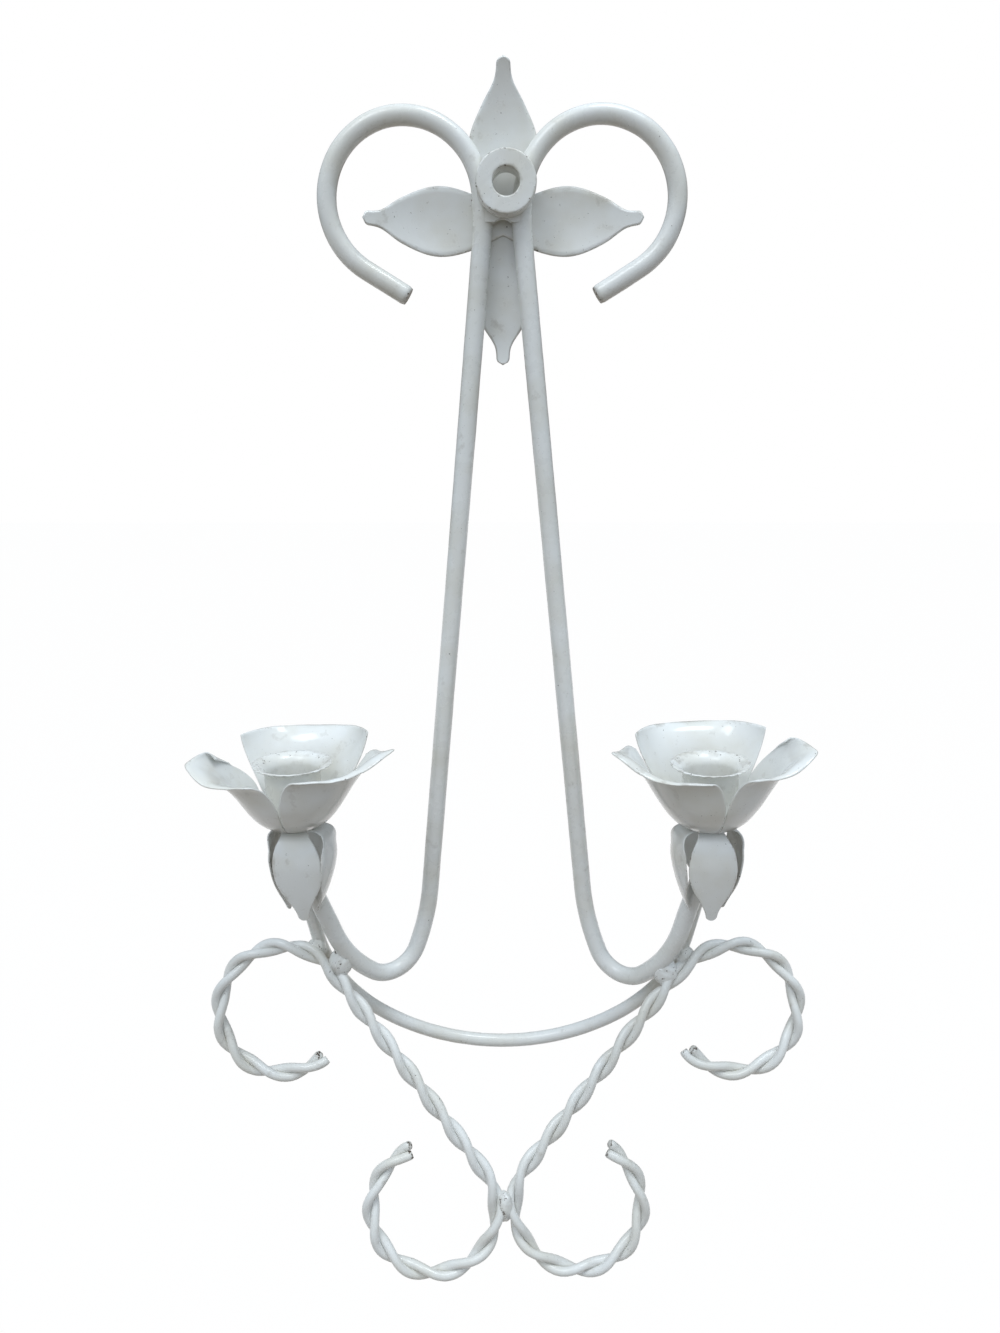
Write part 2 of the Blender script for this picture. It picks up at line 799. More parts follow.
@dataclass(frozen=True)
class TwistedBar:
    """Two wires wound round each other and bent as an S, in millimetres and degrees."""

    side: int
    plane_y: float
    mid_x: float
    mid_drop: float
    slope: float
    lower_run: float
    lower: Bend
    upper_run: float
    ease_bend: Bend
    upper: Bend
    plane_z: float = -335.0
    lean: float = 14.0
    strand: float = 2.05
    offset: float = 2.0
    pitch: float = 36.0
    spacing: float = 0.9
    sides_round: int = 16

    def line(self) -> BentLine:
        """Centre line from the lower free end to the upper free end."""
        lean = radians(self.lean)
        corner = np.array([0.0, self.plane_y, self.plane_z])
        out = np.array([float(self.side), 0.0, 0.0])
        up = np.array([0.0, sin(lean), cos(lean)])
        lower = BentLine(
            corner,
            out,
            up,
            (self.mid_x, -self.mid_drop),
            180 + self.slope,
            (Run(self.lower_run), self.lower),
        )
        u, v, heading = lower.flat(np.array([lower.length()]))
        stretches = (
            Bend(self.lower.radius, -self.lower.turn),
            Run(self.lower_run + self.upper_run),
            Bend(self.ease_bend.radius, -self.ease_bend.turn),
            Bend(self.upper.radius, -self.upper.turn),
        )
        return BentLine(corner, out, up, (float(u[0]), float(v[0])), degrees(heading[0]) + 180, stretches)

    def wire(self, phase: float, trim: tuple[float, float]) -> Stations:
        """One wire: the centre line plus the offset, turned once for each pitch.

        Args:
            phase: turn at the lower end, in radians.
            trim: how far short the wire stops at its lower and its upper end.

        Returns:
            The wire's stations, with frames that follow the helix.
        """
        line = self.line()
        total = line.length()
        count = int(total / self.spacing)
        at = np.linspace(trim[0], total - trim[1], count)
        bar = line.stations(at)
        normal = bar.normal * self.side
        angle = phase - self.side * tau * at / self.pitch
        spoke = (
            bar.across * np.cos(angle)[:, None]
            + normal * (self.side * np.sin(angle))[:, None]
        )
        point = bar.point + spoke * self.offset
        along = unit(np.gradient(point, axis=0))
        across = unit(spoke - (spoke * along).sum(1, keepdims=True) * along)
        return Stations(point, along, across, np.cross(along, across), at - at[0])

    def build(self, name: str, paint: bpy.types.Material) -> None:
        """Make both wires, softly uneven, with paint filling into the valley between them."""
        for letter, phase, trim in (("a", 0.0, (0.0, 0.0)), ("b", pi, (0.6, 1.6))):
            stations = self.wire(phase, trim)
            radius = soft_ended(self.strand, stations.distance[-1], 0.45, (-0.3, 0.6))
            skin = bar_skin(stations, radius, self.sides_round, wear=0.12)
            seed = 20 + self.side + (phase > 1)
            skin.roughen(stations.point, self.sides_round, 0.08, 15.0, seed)
            node = f"{name}_twisted_strand_{letter}"
            make_piece(node, skin, paint, [node])


@dataclass(frozen=True)
class HangerBush:
    """Thick ring in front of the rods."""

    x: float = 1.4
    back_y: float = -10.4
    radius: float = 12.2
    bore: float = 5.45
    length: float = 8.6
    soft: float = 0.7

    def build(self, paint: bpy.types.Material) -> bpy.types.Object:
        """Turn the ring: a flat face with rounded edges, dented and rubbed at its rim."""
        r, b, h, e = self.radius, self.bore, self.length, self.soft
        bend = np.linspace(0.0, 90.0, 6)

        def corner(cx: float, cz: float, size: float, start: float) -> Array:
            """Quarter circle about a centre, from a start angle in degrees."""
            a = np.radians(start + bend)
            return np.stack([cx + size * np.cos(a), cz + size * np.sin(a)], -1)

        def span(a: Array, c: Array, count: int) -> Array:
            """Points of the straight line between two ends, without the ends."""
            t = np.linspace(0.0, 1.0, count)[1:-1, None]
            return a + (c - a) * t

        low_out = corner(r - e, e, e, -90)
        top_out = corner(r - e, h - e, e, 0)
        top_in = corner(b + e, h - e, e, 90)
        low_in = corner(b + e, e, e, 180)
        profile = np.vstack(
            [
                low_out,
                span(low_out[-1], top_out[0], 8),
                top_out,
                span(top_out[-1], top_in[0], 10),
                top_in,
                span(top_in[-1], low_in[0], 8),
                low_in,
                span(low_in[-1], low_out[0], 6),
            ]
        )
        edge = np.minimum(
            np.hypot(profile[:, 0] - r, profile[:, 1] - h), np.hypot(profile[:, 0] - b, profile[:, 1] - h)
        )
        wear = np.clip(1.1 - edge / 1.6, 0.0, 1.0)
        skin = lathe_skin(profile, wear, 96)
        skin.points = skin.points + 0.08 * unit(skin.points) * ripple(skin.points, 7.0, 31)[:, None]
        forward = turn_about("X", 90)
        skin = skin.moved(forward, np.array([self.x, self.back_y, 0.0]))
        return make_piece("hanger_bush", skin, paint, ["hanger_bush"])


@dataclass(frozen=True)
class Leaf:
    """One leaf of sheet, from a waist to a nib."""

    length: float
    widest_at: float
    half_width: float
    waist_half: float
    nib_half: float
    flat_run: float
    curl_radius: float

    def half_widths(self, along: Array, end: float) -> Array:
        """Half the leaf's width: an ogee that swells, narrows to a nib and rounds off at its end."""
        knots = (
            (0.0, self.waist_half),
            (self.widest_at * 0.42, self.half_width * 0.76),
            (self.widest_at, self.half_width),
            (self.length * 0.72, self.half_width * 0.62),
            (self.length - 7.0, self.nib_half + 0.5),
            (self.length - 2.6, self.nib_half),
            (self.length, self.nib_half),
        )
        width = hermite(knots, along)
        left = np.clip((end - along) / self.nib_half, 0.0, 1.0)
        return width * np.sqrt(np.clip(1 - (1 - left) ** 2, 0.0004, 1.0))

    def surface(self, back: float, thick: float) -> tuple[Array, Array]:
        """Middle surface along +X, lying on Z = back and curling up along a circle.

        Args:
            back: height of the leaf's underside.
            thick: sheet thickness.

        Returns:
            The grid of points and the paint wear on it.
        """
        turn = np.linspace(0.0, pi / 2, 44)
        end = self.length - thick / 2
        along = end * (0.55 * np.sin(turn) ** 2 + 0.45 * turn / (pi / 2))
        along = np.sort(np.concatenate([along, end - np.array([2.0, 1.2, 0.6, 0.25, 0.08])]))
        across = np.linspace(-1.0, 1.0, 15)
        half = self.half_widths(along, end)[:, None]
        y = across[None, :] * half
        curl = np.clip(along - self.flat_run, 0.0, None) / self.curl_radius
        x = np.minimum(along, self.flat_run) + self.curl_radius * np.sin(curl)
        z = back + thick / 2 + self.curl_radius * (1 - np.cos(curl))
        cupped = 0.018 * y**2 * ease(along, 4.0, self.widest_at)[:, None]
        grid = np.stack([x[:, None] + 0 * y, y, z[:, None] + cupped * 0.5], -1)
        wear = 0.15 + 0.5 * ease(np.abs(across), 0.86, 1.0)[None, :] + 0 * y
        return grid, wear


@dataclass(frozen=True)
class LeafCross:
    """Two strips with a leaf at each end, crossed behind the rods."""

    x: float = 0.3
    z: float = -12.2
    sheet: float = 1.2
    up: Leaf = Leaf(61.6, 33.0, 13.0, 4.5, 2.2, 26.0, 70.0)
    down: Leaf = Leaf(56.8, 30.0, 13.0, 4.5, 2.2, 43.0, 70.0)
    side: Leaf = Leaf(59.0, 27.5, 13.0, 4.5, 2.2, 20.0, 70.0)

    def strip(self, first: Leaf, second: Leaf, layer: int, upright: bool) -> Skin:
        """A strip of two leaves.

        Args:
            first: the leaf to the right or upwards.
            second: the leaf to the left or downwards.
            layer: 0 against the wall, 1 on top of it.
            upright: whether the strip stands.

        Returns:
            The strip's skin in place.
        """
        back = layer * self.sheet
        grid, wear = leaf_pair(first.surface(back, self.sheet), second.surface(back, self.sheet))
        skin = sheet_skin(grid, self.sheet, wear)
        turn = turn_about("X", 90)
        if upright:
            turn = turn_about("Y", -90) @ turn
        return skin.moved(turn, np.array([self.x, 0.0, self.z]))

    def build(self, paint: bpy.types.Material) -> None:
        """Make both strips."""
        upright = self.strip(self.up, self.down, 0, True)
        make_piece("upright_leaf_strip", upright, paint, ["upright_leaf_strip"])
        level = self.strip(self.side, self.side, 1, False)
        make_piece("level_leaf_strip", level, paint, ["level_leaf_strip"])


@dataclass(frozen=True)
class Weld:
    """A lumpy bead of weld metal under paint."""

    node: str
    half: tuple[float, float, float]
    seed: int

    def build(self, paint: bpy.types.Material) -> bpy.types.Object:
        """Make the bead: a ball stretched to the node's box and pushed in and out by ripples."""
        low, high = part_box(self.node)
        low, high = np.array(low) / MM, np.array(high) / MM
        centre = (low + high) / 2
        latitude = np.linspace(-pi / 2, pi / 2, 26)[1:-1]
        longitude = np.arange(36) * tau / 36
        ring = np.cos(latitude)[:, None]
        ball = np.stack(
            [
                ring * np.cos(longitude)[None, :],
                ring * np.sin(longitude)[None, :],
                np.sin(latitude)[:, None] + 0 * longitude[None, :],
            ],
            -1,
        )
        rows, columns = ball.shape[:2]
        flat = ball.reshape(-1, 3)
        lumps = 0.10 * ripple(flat * np.array(self.half), 5.5, self.seed)
        points = centre + flat * np.array(self.half) * (0.98 + lumps)[:, None]
        quads = grid_quads(rows, columns, True)
        fans = [list(range(columns))[::-1], [(rows - 1) * columns + k for k in range(columns)]]
        wear = np.full(len(points), 0.45)
        return make_piece(self.node, Skin(points, quads, wear, fans), paint, [self.node])


@dataclass(frozen=True)
class PetalBend:
    """How one petal was bent by hand, in millimetres, degrees and shares of its half width.

    Its lip sinks by the droop all along, by the tilt from one corner to the other and by the far
    drop towards its far corner. Its near and far edges are drawn back, and its nib is set back,
    pulled out and lifted about its own place.
    """

    droop: float
    nib_shift: float = 0.0
    tilt: float = 0.0
    far_drop: float = 0.0
    near_open: float = 0.0
    far_open: float = 0.0
    nib_at: float = 0.3
    nib_reach: float = 0.0
    nib_lift: float = 0.0
    nib_width: float = 0.2


@dataclass(frozen=True)
class CupPose:
    """How one hand-fitted cup sits on its rod and how its leaves and petals were bent.

    Turns, roll, lean and sway are in degrees. The pairs say how far each side leaf swells from
    the axis and how far its nib hangs from it, in millimetres.
    """

    roll: float
    lean: float
    flower_turn: float
    flank_turn: float
    front_turn: float
    inner: tuple[float, float]
    outer: tuple[float, float]
    sway: float
    rear_turn: float
    rear_petal: PetalBend
    inner_petal: PetalBend
    outer_petal: PetalBend


@dataclass(frozen=True)
class Lip:
    """A petal's border at one place: share of the half width, radius, height, and the angle that
    the sheet leaves at, in millimetres and degrees."""

    share: float
    radius: float
    height: float
    leave: float


FRONT_LIPS = (
    Lip(-1.0, 32.3, 32.3, 5.0),
    Lip(-0.75, 32.6, 31.8, -12.0),
    Lip(-0.5, 34.4, 31.2, -22.0),
    Lip(-0.25, 38.6, 33.2, -15.0),
    Lip(-0.1, 41.4, 36.4, 0.0),
    Lip(0.03, 43.0, 38.8, 10.0),
    Lip(0.16, 40.4, 39.6, 25.0),
    Lip(0.35, 37.2, 40.3, 45.0),
    Lip(0.6, 34.8, 40.4, 58.0),
    Lip(0.8, 33.2, 39.6, 62.0),
    Lip(1.0, 31.5, 37.8, 64.0),
)
REAR_LIPS = (
    Lip(-1.0, 33.2, 37.2, 80.0),
    Lip(-0.6, 34.8, 36.9, 60.0),
    Lip(-0.25, 36.6, 35.8, 15.0),
    Lip(0.0, 37.6, 35.2, -10.0),
    Lip(0.25, 36.6, 35.8, 15.0),
    Lip(0.6, 34.8, 36.9, 60.0),
    Lip(1.0, 33.2, 37.2, 80.0),
)


@dataclass(frozen=True)
class Petal:
    """One petal of the flower, measured round and out from the cup's axis.

    The hand is 1 where the share across grows anticlockwise and -1 where it grows clockwise.
    """

    axis_turn: float
    lips: tuple[Lip, ...]
    bend: PetalBend
    hand: int = 1
    edge_round: float = 0.4
    slit_half: float = 0.45
    edge_fade: float = 1.5
    rise_fade: float = 1.8
    drop_fade: float = 0.7
    wall_share: float = 0.4
    wall_leave: float = 59.0
    wall: tuple[tuple[float, float, float], ...] = (
        (0.0, 7.0, 0.7),
        (0.25, 11.9, 2.0),
        (0.5, 15.9, 5.1),
        (0.75, 18.9, 8.9),
        (1.0, 21.5, 12.9),
    )

    def surface(self) -> tuple[Array, Array]:
        """Inner face of the petal on a grid of way up the wall by share across.

        The lower wall is one curve for every share. From its top a cubic leads to the lip's
        radius, less the rounding of its edge, and height, and arrives at the lip's angle. The
        nib's pull and lift fade from its place by the exponential of minus the square of the
        distance over its width. The turn about the axis is the share times sixty degrees less
        the slit, and both edges draw back from the slits as they rise.

        Returns:
            The grid of points and the paint wear on it.
        """
        share = np.linspace(-1.0, 1.0, 81)
        way = np.linspace(0.0, 1.0, 48)
        bend = self.bend
        place = [lip.share + bend.nib_shift * (1 - lip.share**2) for lip in self.lips]
        nib = np.exp(-(((share - bend.nib_at) / bend.nib_width) ** 2))
        rim_r = hermite(list(zip(place, [lip.radius for lip in self.lips])), share)
        rim_r = (rim_r + bend.nib_reach * nib - self.edge_round)[None, :]
        rim_z = hermite(list(zip(place, [lip.height for lip in self.lips])), share)
        rim_z = rim_z + bend.nib_lift * nib - bend.droop - bend.tilt * share
        rim_z = (rim_z - bend.far_drop * np.clip(share, 0.0, 1.0) ** self.drop_fade)[None, :]
        leave = np.radians(hermite(list(zip(place, [lip.leave for lip in self.lips])), share))[None, :]
        low = np.clip(way / self.wall_share, 0.0, 1.0)
        wall_r = hermite([(a, r) for a, r, _ in self.wall], low)[:, None]
        wall_z = hermite([(a, z) for a, _, z in self.wall], low)[:, None]
        r0, z0 = self.wall[-1][1:]
        t = np.clip((way - self.wall_share) / (1 - self.wall_share), 0.0, 1.0)[:, None]
        reach = np.hypot(rim_r - r0, rim_z - z0)
        start = radians(self.wall_leave)
        a, b, c, d = cubic_weights(t)
        high_r = a * r0 + b * reach * cos(start) + c * rim_r + d * reach * np.cos(leave)
        high_z = a * z0 + b * reach * sin(start) + c * rim_z + d * reach * np.sin(leave)
        upper = way[:, None] > self.wall_share
        radius = np.where(upper, high_r, wall_r)
        height = np.where(upper, high_z, wall_z)
        turn = share[None, :] * (60 - np.degrees(np.arcsin(self.slit_half / radius)))
        near = np.clip(-share, 0.0, 1.0)[None, :] ** self.edge_fade
        far = np.clip(share, 0.0, 1.0)[None, :] ** self.edge_fade
        turn = turn + t**self.rise_fade * (bend.near_open * near - bend.far_open * far)
        angle = np.radians(self.axis_turn + self.hand * turn)
        grid = np.stack([radius * np.cos(angle), radius * np.sin(angle), height], -1)
        wear = 0.1 + 0.6 * ease(way, 0.96, 1.0)[:, None] + 0 * radius
        return (grid if self.hand > 0 else grid[:, ::-1]), wear


@dataclass(frozen=True)
class CandleCup:
    """A cup on its rod: flower, socket, calyx and screw."""

    name: str
    side: int
    place: Array
    pose: CupPose
    sheet: float = 0.8
    petal_sheet: float = 0.7
    hub_radius: float = 8.6
    hub_hole: float = 2.1
    hub_thick: float = 1.0
    socket_bore: float = 11.1
    socket_sheet: float = 0.6
    socket_height: float = 26.5
    socket_rim: float = 16.4
    socket_rim_drop: float = 3.4
    socket_corner: float = 7.0
    scallops: int = 26
    calyx_root_half: float = 4.8
    calyx_nib_half: float = 1.8
    calyx_drop: float = 38.5
    calyx_bulge_drop: float = 12.5
    front_hollow: float = 0.014
    side_hollow: float = 0.026
    calyx_widths: tuple[tuple[float, float], ...] = (
        (0.0, 5.2),
        (2.0, 6.7),
        (5.0, 8.2),
        (10.0, 9.4),
        (15.0, 9.7),
        (20.0, 9.0),
        (24.0, 7.6),
        (28.0, 5.4),
        (31.5, 3.6),
        (35.0, 2.3),
        (38.5, 1.8),
    )
    front_leaf: tuple[float, float] = (14.0, 9.6)
    rear_leaf: tuple[float, float] = (21.5, 18.8)

    def turned(self) -> Array:
        """The cup's lean and roll as a matrix."""
        return turn_about("X", self.pose.lean) @ turn_about("Y", self.pose.roll)

    def set_down(self, skin: Skin, height: float, spin: float = 0.0) -> Skin:
        """A skin lifted to a height in the cup and put in its place on the rod."""
        lifted = skin.moved(turn_about("Z", spin), np.array([0.0, 0.0, height]))
        return lifted.moved(self.turned(), self.place)

    def flower(self, paint: bpy.types.Material) -> None:
        """Make the flower: three petals of one sheet, the odd one at the back."""
        bends = (self.pose.inner_petal, self.pose.outer_petal)
        if self.side > 0:
            bends = bends[::-1]
        petals = [
            Petal(self.pose.rear_turn, REAR_LIPS, self.pose.rear_petal),
            Petal(330.0, FRONT_LIPS, bends[0]),
            Petal(210.0, FRONT_LIPS, bends[1], -1),
        ]
        skin: Optional[Skin] = None
        for petal in petals:
            grid, wear = petal.surface()
            piece = sheet_skin(grid, self.petal_sheet, wear, -self.petal_sheet / 2)
            skin = piece if skin is None else skin.joined(piece)
        assert skin is not None
        skin = self.set_down(skin.joined(self.hub()), 2 * self.sheet, self.pose.flower_turn)
        node = f"{self.name}_flower"
        make_piece(node, skin, paint, [node])

    def hub(self) -> Skin:
        """The flat disc that the petals grow from, pierced for the screw."""
        r, hole, t = self.hub_radius, self.hub_hole, self.hub_thick
        profile = np.array([(hole, 0.0), (r - 0.2, 0.0), (r, 0.2), (r, t - 0.2), (r - 0.2, t), (hole, t)])
        return lathe_skin(profile, np.full(6, 0.3), 64)

    def socket(self, paint: bpy.types.Material) -> None:
        """Make the candle tube: a turned cup with a flared rim, gently scalloped."""
        bore, t = self.socket_bore, self.socket_sheet
        outer, top = bore + t, self.socket_height
        flare = top - self.socket_rim_drop
        arc = np.radians(np.linspace(-90.0, 0.0, 9))
        corner = self.socket_corner
        outside = np.stack(
            [outer - corner + corner * np.cos(arc), corner + corner * np.sin(arc)], -1
        )
        lip = np.linspace(0.0, 1.0, 10)
        lip_r = outer + (self.socket_rim - outer) * lip**1.7
        lip_z = flare - 1.0 + (top - flare + 1.0) * (1 - (1 - lip) ** 1.5)
        wall = np.stack([np.full(9, outer), np.linspace(corner, flare - 1.0, 11)[1:-1]], -1)
        outside = np.vstack([[[2.1, 0.0]], outside, wall, np.stack([lip_r, lip_z], -1)])
        slope = unit(np.gradient(outside, axis=0))
        inward = np.stack([-slope[:, 1], slope[:, 0]], -1)
        inside = outside + inward * t
        inside[0] = (2.1, t)
        tip = outside[-1] + (slope[-1] + inward[-1]) * t * 0.5
        profile = np.vstack([outside, [tip], inside[::-1]])
        wear = np.where(profile[:, 1] > top - 1.0, 0.7, 0.15)
        angle = np.arange(208) * tau / 208
        wave = np.abs(np.cos(angle * self.scallops / 2)) - 0.64
        grow = ease(profile[:, 0], outer + 1.0, self.socket_rim)
        swell = 0.55 * grow[:, None] * wave[None, :]
        skin = lathe_skin(profile, wear, 208, swell)
        skin = self.set_down(skin, 2 * self.sheet + self.hub_thick)
        node = f"{self.name}_candle_socket"
        make_piece(node, skin, paint, [node])

    def calyx_leaf(self, bulge: float, nib: float, sway: float, hollow: float) -> tuple[Array, Array]:
        """One hanging leaf from the cup's axis along +X, over a shoulder and down to its nib.

        Below the bulge the leaf draws in to the nib by a power of the drop, and its half width
        follows the drop too. Its edges stand nearer the axis by the hollow times the square of
        their distance from the leaf's middle.

        Args:
            bulge: how far the leaf swells from the axis, in millimetres.
            nib: how far its nib hangs from the axis, in millimetres.
            sway: how far it swings sideways as it drops, in degrees.
            hollow: how strongly it is cupped, per millimetre.

        Returns:
            The grid of points and the paint wear on it.
        """
        shoulder = max(bulge - 7.0, 7.0)
        drop, belly = self.calyx_drop, self.calyx_bulge_drop
        line = [(0.0, 0.0), (shoulder * 0.5, 0.0), (shoulder, 0.0)]
        line += [(0.45 * shoulder + 0.55 * bulge, -1.6), (bulge - 1.4, -4.8), (bulge, -belly)]
        for z in (17.0, 22.0, 27.0, 32.0, drop):
            line.append((bulge - (bulge - nib) * ((z - belly) / (drop - belly)) ** 1.5, -z))
        knots = np.array(line)
        gaps = np.hypot(*np.diff(knots, axis=0).T)
        at = np.concatenate([[0.0], np.cumsum(gaps)])
        total = at[-1]
        along = np.concatenate([np.linspace(0.0, total - 3.2, 46), total - np.geomspace(2.6, 0.05, 9)])
        x = hermite(list(zip(at, knots[:, 0])), along)
        z = hermite(list(zip(at, knots[:, 1])), along)
        half = np.where(along < at[2], self.calyx_root_half, hermite(self.calyx_widths, -z))
        left = np.clip((total - along) / self.calyx_nib_half, 0.0, 1.0)
        half = half * np.sqrt(np.clip(1 - (1 - left) ** 2, 0.0004, 1.0))
        across = np.linspace(-1.0, 1.0, 15)
        y = across[None, :] * half[:, None]
        cup = hollow * y**2 * ease(-z, 2.0, 10.0)[:, None]
        swing = -z[:, None] * sin(radians(sway))
        grid = np.stack([x[:, None] - cup, y + swing, z[:, None] + 0 * y], -1)
        wear = 0.12 + 0.5 * ease(np.abs(across), 0.86, 1.0)[None, :] + 0 * y
        return grid, wear

    def calyx_strip(
        self, first: tuple[float, float], second: tuple[float, float], layer: int, spin: float
    ) -> Skin:
        """Two opposite calyx leaves in one strip, at its layer under the flower."""
        front = layer == 0
        sway = self.pose.sway if front else 0.0
        hollow = self.front_hollow if front else self.side_hollow
        grid, wear = leaf_pair(
            self.calyx_leaf(*first, sway, hollow), self.calyx_leaf(*second, sway, hollow)
        )
        skin = sheet_skin(grid, self.sheet, wear)
        return self.set_down(skin, (layer + 0.5) * self.sheet, spin)

    def build(self, palette: Palette) -> None:
        """Make every piece of the cup."""
        self.flower(palette.petal)
        self.socket(palette.cup)
        sides = (self.pose.outer, self.pose.inner)
        if self.side < 0:
            sides = sides[::-1]
        front = self.calyx_strip(self.rear_leaf, self.front_leaf, 0, 90.0 + self.pose.front_turn)
        node = f"{self.name}_calyx_front_leaves"
        make_piece(node, front, palette.leaf, [node])
        flank = self.calyx_strip(*sides, 1, self.pose.flank_turn)
        node = f"{self.name}_calyx_side_leaves"
        make_piece(node, flank, palette.leaf, [node])


@dataclass(frozen=True)
class Studio:
    """Floor, soft light and camera, in metres."""

    floor_z: float = -0.62
    camera_place: tuple[float, float, float] = (-0.001, -0.4474, -0.0997)
    camera_pitch: float = 12.8
    focal_px: float = 1001.0
    image_height_px: float = 1333.0
    film_mm: float = 36.0
    sky_pull: tuple[float, float, float] = (-0.1, -0.5, 0.8)
    sky_strength: float = 0.80
    sky_stops: tuple[tuple[float, tuple[float, float, float]], ...] = (
        (0.0, (0.10, 0.075, 0.05)),
        (0.40, (0.20, 0.17, 0.14)),
        (0.56, (0.48, 0.58, 0.68)),
        (0.78, (0.86, 1.0, 1.15)),
        (1.0, (1.15, 1.22, 1.3)),
    )
    floor_half: float = 6.0
    floor_bounce: tuple[float, float, float] = (0.17, 0.13, 0.09)
    floor_seen: tuple[float, float, float] = (0.95, 0.95, 0.95)
    floor_white: float = 0.975
    lamp_aim: tuple[float, float, float] = (0.0, -0.03, -0.25)

    def floor(self) -> None:
        """Lay a plain pale floor that shows white to the camera and keeps a soft shadow."""
        side = self.floor_half
        mesh = bpy.data.meshes.new("studio_floor")
        corners = [(-side, -side), (side, -side), (side, side), (-side, side)]
        mesh.from_pydata([(x, y, self.floor_z) for x, y in corners], [], [(0, 1, 2, 3)])
        bench = NodeBench(bpy.data.materials.new("studio_floor"))
        rays = bench.add("ShaderNodeLightPath")
        seen = bench.math("MAXIMUM", rays.outputs["Is Camera Ray"], rays.outputs["Is Glossy Ray"])
        seen = bench.math("MAXIMUM", seen, rays.outputs["Is Transmission Ray"])
        cloth = bench.add("ShaderNodeBsdfDiffuse")
        bench.link(bench.blend(seen, self.floor_bounce, self.floor_seen), cloth.inputs["Color"])
        white = bench.add("ShaderNodeEmission")
        white.inputs["Strength"].default_value = 1.0
        mix = bench.add("ShaderNodeMixShader")
        bench.link(bench.math("MULTIPLY", seen, self.floor_white), mix.inputs[0])
        bench.link(cloth.outputs[0], mix.inputs[1])
        bench.link(white.outputs[0], mix.inputs[2])
        output = bench.add("ShaderNodeOutputMaterial")
        bench.link(mix.outputs[0], output.inputs["Surface"])
        mesh.materials.append(bench.owner)
        floor = bpy.data.objects.new("studio_floor", mesh)
        bpy.context.scene.collection.objects.link(floor)

    def sky(self) -> None:
        """Surround with a soft light: cool from above and in front, brown and dim from the rest.

        The ramp runs on a weighted sum of how far up and how far forward a direction points.
        """
        bench = NodeBench(bpy.data.worlds.new("studio_sky"))
        way = bench.add("ShaderNodeTexCoord")
        lift = bench.add("ShaderNodeVectorMath", operation="DOT_PRODUCT")
        lift.inputs[1].default_value = self.sky_pull
        bench.link(way.outputs["Generated"], lift.inputs[0])
        ramp = bench.add("ShaderNodeValToRGB")
        while len(ramp.color_ramp.elements) < len(self.sky_stops):
            ramp.color_ramp.elements.new(0.5)
        for element, (place, colour) in zip(ramp.color_ramp.elements, self.sky_stops):
            element.position = place
            element.color = (*colour, 1.0)
        bench.link(bench.ramp(lift.outputs["Value"], -1.0, 1.0), ramp.inputs["Fac"])
        rays = bench.add("ShaderNodeLightPath")
        soft = bench.add("ShaderNodeBackground", strength=self.sky_strength)
        bench.link(ramp.outputs["Color"], soft.inputs["Color"])
        white = bench.add("ShaderNodeBackground", strength=1.0)
        white.inputs["Color"].default_value = (1.0, 1.0, 1.0, 1.0)
        mix = bench.add("ShaderNodeMixShader")
        bench.link(rays.outputs["Is Camera Ray"], mix.inputs[0])
        bench.link(soft.outputs[0], mix.inputs[1])
        bench.link(white.outputs[0], mix.inputs[2])
        output = bench.add("ShaderNodeOutputWorld")
        bench.link(mix.outputs[0], output.inputs["Surface"])
        bpy.context.scene.world = bench.owner

    def lamp(self, name: str, place: Array, aim: Array, size: float, power: float, colour: tuple) -> None:
        """Hang one soft square lamp that faces a point."""
        data = bpy.data.lights.new(name, "AREA")
        data.shape = "SQUARE"
        data.size = size
        data.energy = power
        data.color = colour
        lamp = bpy.data.objects.new(name, data)
        bpy.context.scene.collection.objects.link(lamp)
        back = unit(place - aim)
        side = unit(np.cross(np.array([0.0, 0.0, 1.0]), back))
        rise = np.cross(back, side)
        matrix = np.eye(4)
        matrix[:3, 0], matrix[:3, 1], matrix[:3, 2], matrix[:3, 3] = side, rise, back, place
        lamp.matrix_world = Matrix(matrix.tolist())

    def lamps(self) -> None:
        """Light the object softly from above in front and from the left."""
        aim = np.array(self.lamp_aim)
        self.lamp("window", np.array([-0.8, -1.1, 1.6]), aim, 0.8, 10.0, (0.9, 0.96, 1.0))
        self.lamp("overhead", np.array([0.4, -0.35, 1.6]), aim, 0.7, 11.0, (0.9, 0.97, 1.0))

    def camera(self) -> None:
        """Stand the camera where the photograph was taken, pitched down and without shift."""
        data = bpy.data.cameras.new("viewpoint")
        data.sensor_width = self.film_mm
        data.lens = self.film_mm * self.focal_px / self.image_height_px
        data.clip_start = 0.01
        camera = bpy.data.objects.new("viewpoint", data)
        bpy.context.scene.collection.objects.link(camera)
        camera.location = self.camera_place
        camera.rotation_euler = (radians(90 - self.camera_pitch), 0.0, 0.0)
        bpy.context.scene.camera = camera

    def build(self) -> None:
        """Set up the whole studio."""
        self.floor()
        self.sky()
        self.lamps()
        self.camera()
        bpy.context.scene.view_settings.view_transform = "Standard"


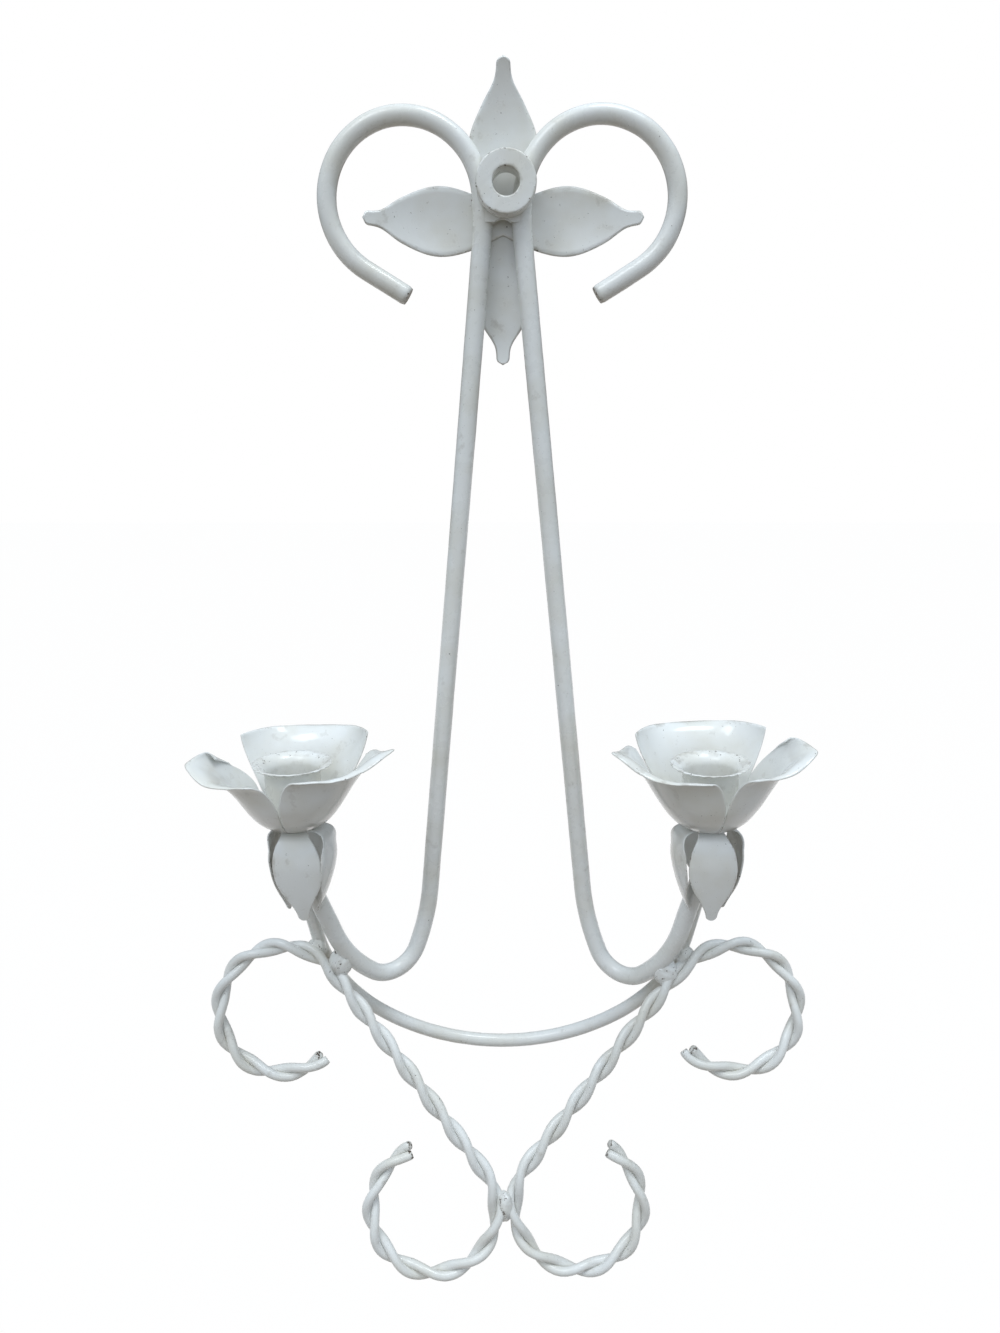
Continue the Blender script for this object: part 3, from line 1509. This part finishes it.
@dataclass(frozen=True)
class Sconce:
    """The whole object: every sub-assembly with its hand-made differences."""

    left_rod: BentRod = BentRod(-1, 5.1, 287.7, 18.2, 33.8, 30.5, 43.3)
    right_rod: BentRod = BentRod(1, 5.9, 288.0, 19.6, 35.5, 33.7, 40.6)
    bow: BowRod = BowRod()
    left_bar: TwistedBar = TwistedBar(
        -1, -31.3, 36.4, 55.8, 52.5, 45.9, Bend(28.6, 287.0), 67.8, Bend(29.1, 21.4), Bend(28.7, 254.1)
    )
    right_bar: TwistedBar = TwistedBar(
        1, -29.4, 40.3, 54.7, 51.8, 46.2, Bend(29.1, 280.3), 55.4, Bend(79.7, 14.8), Bend(28.8, 266.8)
    )
    bush: HangerBush = HangerBush()
    leaves: LeafCross = LeafCross()
    left_pose: CupPose = CupPose(
        roll=0.0,
        lean=0.5,
        flower_turn=-4.0,
        flank_turn=-8.0,
        front_turn=8.0,
        inner=(16.8, 8.5),
        outer=(11.0, 4.0),
        sway=-4.0,
        rear_turn=87.0,
        rear_petal=PetalBend(1.6, tilt=1.8),
        inner_petal=PetalBend(
            2.4, 0.3, 0.0, 6.5, near_open=17.0, far_open=10.0, nib_at=0.28, nib_reach=3.9, nib_lift=5.0
        ),
        outer_petal=PetalBend(
            5.6, 0.0, 0.8, 0.0, near_open=17.0, far_open=46.0, nib_at=-0.2, nib_reach=0.8, nib_lift=-1.2
        ),
    )
    right_pose: CupPose = CupPose(
        roll=-2.0,
        lean=1.5,
        flower_turn=5.0,
        flank_turn=8.0,
        front_turn=-3.0,
        inner=(15.8, 8.5),
        outer=(14.0, 6.0),
        sway=0.0,
        rear_turn=88.0,
        rear_petal=PetalBend(0.4),
        inner_petal=PetalBend(
            1.8, 0.3, 0.0, 3.5, near_open=15.0, far_open=10.0, nib_at=0.25, nib_reach=2.4, nib_lift=4.0
        ),
        outer_petal=PetalBend(1.5, near_open=17.0, far_open=36.0),
    )
    welds: tuple[Weld, ...] = (
        Weld("left_arm_weld", (5.6, 4.6, 6.6), 41),
        Weld("right_arm_weld", (5.6, 4.6, 6.6), 42),
        Weld("left_bow_weld", (4.6, 3.9, 5.0), 43),
        Weld("right_bow_weld", (4.6, 3.9, 5.0), 44),
        Weld("left_bow_end_weld", (3.7, 3.5, 5.2), 45),
        Weld("right_bow_end_weld", (3.7, 3.5, 5.2), 46),
        Weld("centre_weld", (3.6, 4.2, 7.6), 47),
    )

    def build(self, palette: Palette) -> None:
        """Make every piece and dress the CAD nodes that stay."""
        self.left_rod.build("left_main_rod", palette.rod)
        self.right_rod.build("right_main_rod", palette.rod)
        self.bow.build(palette.rod)
        self.left_bar.build("left", palette.twist)
        self.right_bar.build("right", palette.twist)
        self.bush.build(palette.cup)
        self.leaves.build(palette.leaf)
        for weld in self.welds:
            weld.build(palette.weld)
        for name, rod, pose in (
            ("left", self.left_rod, self.left_pose),
            ("right", self.right_rod, self.right_pose),
        ):
            CandleCup(name, rod.side, rod.cup_point(), pose).build(palette)
        self.dress("bush_weld", palette.weld)
        self.dress("left_cup_screw", palette.steel)
        self.dress("right_cup_screw", palette.steel)

    def dress(self, node: str, material: bpy.types.Material) -> None:
        """Put a finish on a CAD node that is shown as it is."""
        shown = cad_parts[node]
        shown.data.materials.clear()
        shown.data.materials.append(material)
        log.info("%s dressed", node)


def main() -> None:
    """Build the finishes, the sconce and the studio, in that order."""
    logging.basicConfig(level=logging.INFO, format="%(name)s %(message)s")
    palette = Palette.mixed()
    Sconce().build(palette)
    Studio().build()


if __name__ == "__main__":
    main()
